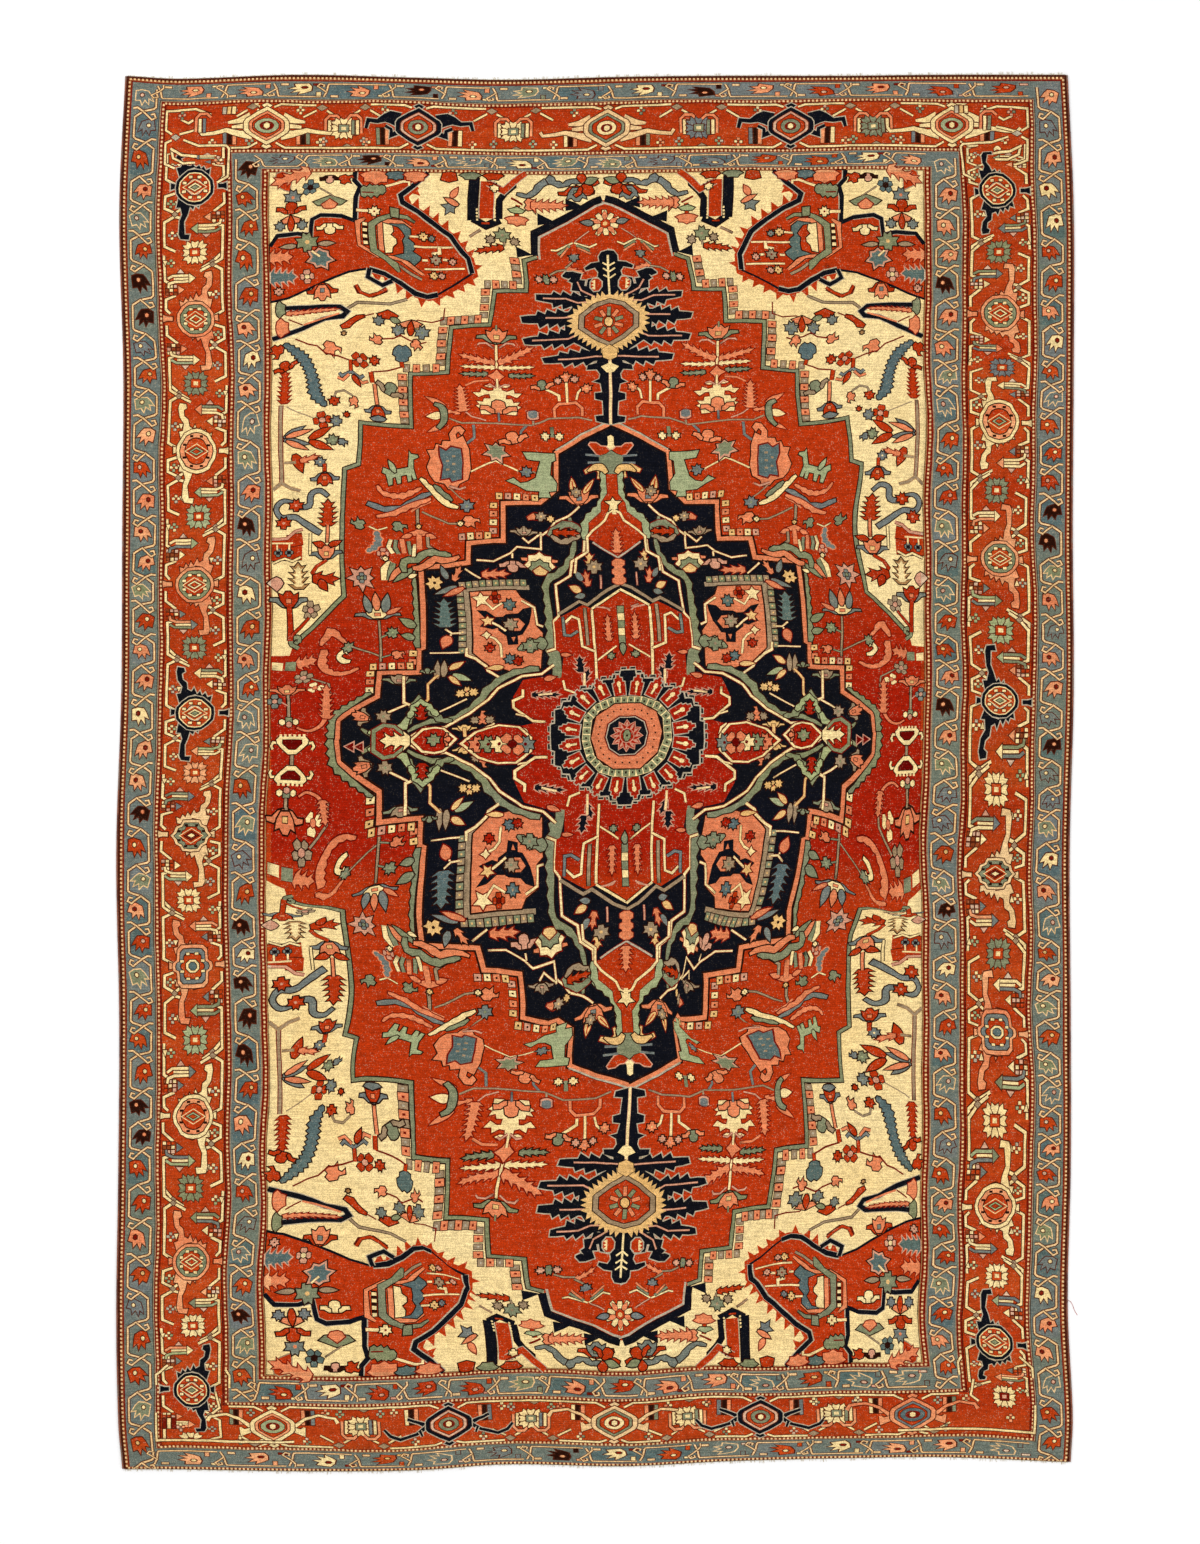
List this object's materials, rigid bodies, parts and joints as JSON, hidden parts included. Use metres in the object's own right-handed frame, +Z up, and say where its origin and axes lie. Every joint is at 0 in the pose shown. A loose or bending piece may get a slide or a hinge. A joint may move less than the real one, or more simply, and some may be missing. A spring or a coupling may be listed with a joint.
{
  "type": "hand-knotted medallion rug",
  "caption": "Large rectangular wool rug that lies flat on a floor, with a knotted pile, overcast side cords and short warp fringes.",
  "frame": {"origin": "middle of the rug on the surface that it lies on", "axes": "+X across the rug, +Y along it towards the head end, +Z up out of the pile"},
  "size_m": [3.4624, 5.0618, 0.008],
  "materials": {
    "pile": "matt hand-knotted wool pile, madder red ground with a patterned field and borders",
    "overcasting": "matt wrapped wool yarn",
    "warp": "undyed cotton warp ends",
    "loose_yarn": "matt dyed wool yarn"
  },
  "bodies": {
    "root": {"rug_body": "pile", "side_cord_left": "overcasting", "side_cord_right": "overcasting", "warp_fringe_top": "warp", "warp_fringe_bottom": "warp", "loose_yarn_end": "loose_yarn"}
  },
  "joints": []
}
